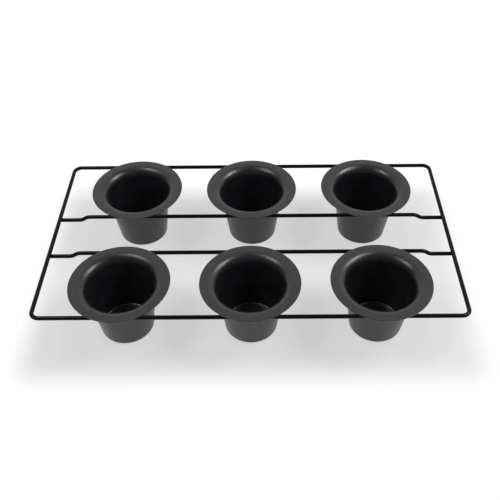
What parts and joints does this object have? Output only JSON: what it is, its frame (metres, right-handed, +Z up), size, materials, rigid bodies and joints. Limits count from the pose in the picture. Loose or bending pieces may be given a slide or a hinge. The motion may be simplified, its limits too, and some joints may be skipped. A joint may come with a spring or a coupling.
{
  "type": "popover pan",
  "caption": "Popover pan: deep tapered steel cups with flared flat brims, spot-welded in two rows into a rack of round wire.",
  "frame": {"origin": "middle of the pan, in the plane that the cup bases stand on", "axes": "+X along a row of cups, to the right; +Y towards the rear row; +Z up"},
  "size_m": [0.4, 0.2318, 0.0605],
  "materials": {
    "coated_cup": "dark semi-gloss non-stick coating on drawn steel sheet",
    "coated_wire": "black satin coating on round steel wire",
    "weld": "black coated weld metal"
  },
  "bodies": {
    "root": {"outer_frame_wire": "coated_wire", "rear_cross_wire": "coated_wire", "front_cross_wire": "coated_wire", "cup_rear_left": "coated_cup", "cup_rear_centre": "coated_cup", "cup_rear_right": "coated_cup", "cup_front_left": "coated_cup", "cup_front_centre": "coated_cup", "cup_front_right": "coated_cup", "frame_butt_weld": "weld", "cross_wire_end_welds": "weld", "welds_rear_left": "weld", "welds_rear_centre": "weld", "welds_rear_right": "weld", "welds_front_left": "weld", "welds_front_centre": "weld", "welds_front_right": "weld"}
  },
  "joints": []
}
